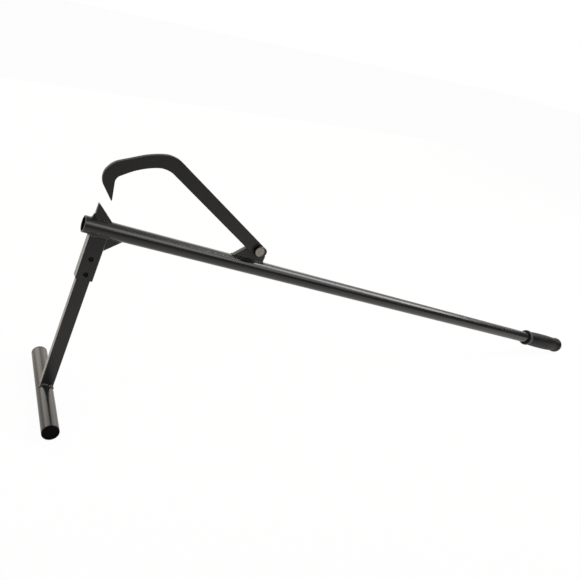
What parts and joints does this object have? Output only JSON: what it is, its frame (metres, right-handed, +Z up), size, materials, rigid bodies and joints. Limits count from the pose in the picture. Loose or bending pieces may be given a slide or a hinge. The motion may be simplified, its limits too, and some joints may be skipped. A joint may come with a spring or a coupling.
{
  "type": "log jack",
  "caption": "Two-handed log lever: tube handle with rubber grip, hinged hook on a welded bracket, fixed tooth, and a bolted T stand that props the log off the ground.",
  "frame": {"origin": "centre of the bounding box on the floor, under the jack as it stands on its foot bar and on the end of its grip", "axes": "+X along the floor from the foot bar towards the grip, +Y across the jack away from the face of the bracket that carries the hook, +Z up"},
  "size_m": [1.239, 0.216, 0.4102],
  "materials": {
    "powder_coated_steel": "satin black powder coat",
    "painted_weld": "black powder coat over a rippled bead",
    "grip_rubber": "matte moulded",
    "plug_plastic": "matte moulded",
    "zinc_plated_steel": "bright zinc plating",
    "black_oxide_steel": "black oxide, oiled",
    "nylon": "natural nylon"
  },
  "bodies": {
    "frame": {"handle_tube": "powder_coated_steel", "handle_grip": "grip_rubber", "tooth_plate": "powder_coated_steel", "tooth_weld": "painted_weld", "gusset_plate": "powder_coated_steel", "gusset_weld": "painted_weld", "leg_socket": "powder_coated_steel", "socket_weld": "painted_weld", "stand_leg": "powder_coated_steel", "leg_bolts": "black_oxide_steel", "leg_bolt_washers": "black_oxide_steel", "foot_bar": "powder_coated_steel", "foot_weld": "painted_weld", "foot_plugs": "plug_plastic", "hook_bracket": "powder_coated_steel", "bracket_weld": "painted_weld", "pivot_bolt": "zinc_plated_steel", "pivot_washer": "zinc_plated_steel", "pivot_lock_nut": "zinc_plated_steel", "lock_nut_ring": "nylon"},
    "hook": {"hook": "powder_coated_steel"}
  },
  "joints": [
    {"name": "hook_hinge", "type": "hinge", "parent": "frame", "child": "hook", "pos_m": [-0.28799, -0.0083, 0.26737], "axis": [0, 1, 0], "range_deg": [-7, 156]}
  ]
}
